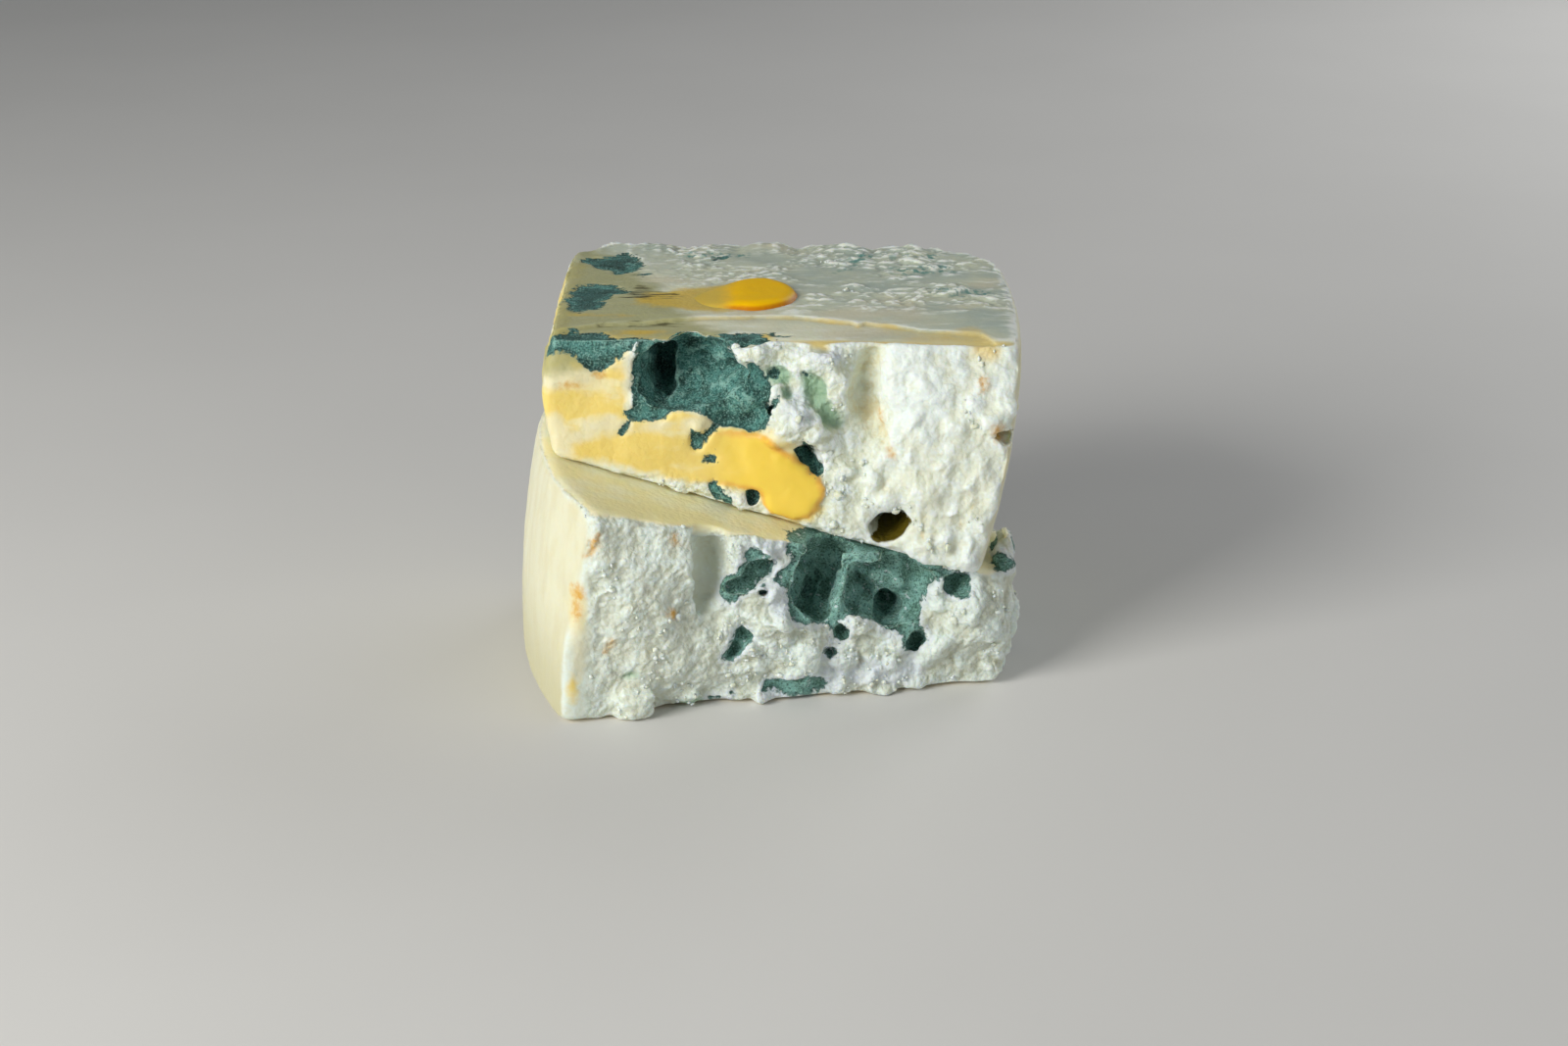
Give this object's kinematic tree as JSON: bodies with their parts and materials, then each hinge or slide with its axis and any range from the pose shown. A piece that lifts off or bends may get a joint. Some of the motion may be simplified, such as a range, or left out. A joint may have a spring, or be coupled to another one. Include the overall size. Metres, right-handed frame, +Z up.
{
  "type": "blue cheese wedge",
  "caption": "Wedge of crumbly blue cheese cut slantwise into tapered slices stacked head to tail, with mould hollows, a pale rind and drips of honey.",
  "frame": {"origin": "middle of the underside of the box round both slices", "axes": "+X along the slices towards the upper slice's rind, +Y from the broken front to the back, +Z up"},
  "size_m": [0.0708, 0.0642, 0.0496],
  "materials": {
    "cheese_paste": "crumbly broken curd with a waxy knife-cut top and blue-green mould in the hollows",
    "ripe_cheese_paste": "crumbly broken curd with a pale yellow rind and dark blue-green mould in the caves",
    "honey": "thick clear amber honey, wet gloss"
  },
  "bodies": {
    "root": {"upper_slice": "cheese_paste", "lower_slice": "ripe_cheese_paste"}
  },
  "joints": []
}
